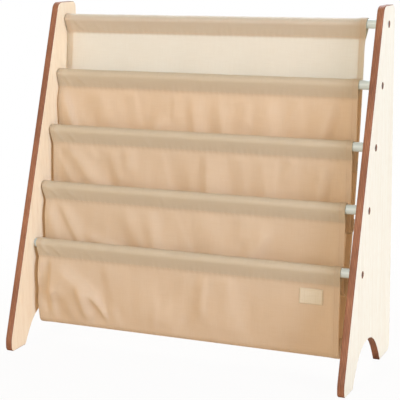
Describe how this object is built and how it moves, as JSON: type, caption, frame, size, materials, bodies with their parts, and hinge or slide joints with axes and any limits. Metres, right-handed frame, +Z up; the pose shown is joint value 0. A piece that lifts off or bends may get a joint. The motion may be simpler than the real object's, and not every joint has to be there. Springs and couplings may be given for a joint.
{
  "type": "sling bookshelf",
  "caption": "Low bookshelf for children: leaning plywood sides, white cross rods and a hanging canvas sling that makes stepped pockets for picture books shown face out.",
  "frame": {"origin": "on the floor, below the middle of the shelf's overall box", "axes": "+X across the shelf to the right as seen from the front, +Y to the back, +Z up"},
  "size_m": [0.63, 0.268, 0.61],
  "materials": {
    "plywood": "birch plywood with a clear matt lacquer, sawn edges stained reddish brown",
    "rod_paint": "steel tube, white powder coat, semi-matt",
    "plug_plastic": "moulded white plastic",
    "screw_steel": "zinc plated",
    "canvas": "plain woven cotton canvas, matt",
    "label_cloth": "woven label, bare"
  },
  "bodies": {
    "root": {"side_panel_left": "plywood", "side_panel_right": "plywood", "rod_1": "rod_paint", "end_plug_1_left": "plug_plastic", "screw_1_left": "screw_steel", "end_plug_1_right": "plug_plastic", "screw_1_right": "screw_steel", "rod_2": "rod_paint", "end_plug_2_left": "plug_plastic", "screw_2_left": "screw_steel", "end_plug_2_right": "plug_plastic", "screw_2_right": "screw_steel", "rod_3": "rod_paint", "end_plug_3_left": "plug_plastic", "screw_3_left": "screw_steel", "end_plug_3_right": "plug_plastic", "screw_3_right": "screw_steel", "rod_4": "rod_paint", "end_plug_4_left": "plug_plastic", "screw_4_left": "screw_steel", "end_plug_4_right": "plug_plastic", "screw_4_right": "screw_steel", "rod_5": "rod_paint", "end_plug_5_left": "plug_plastic", "screw_5_left": "screw_steel", "end_plug_5_right": "plug_plastic", "screw_5_right": "screw_steel", "back_sheet": "canvas", "pocket_front_1": "canvas", "pocket_front_2": "canvas", "pocket_front_3": "canvas", "pocket_front_4": "canvas", "label": "label_cloth"}
  },
  "joints": []
}
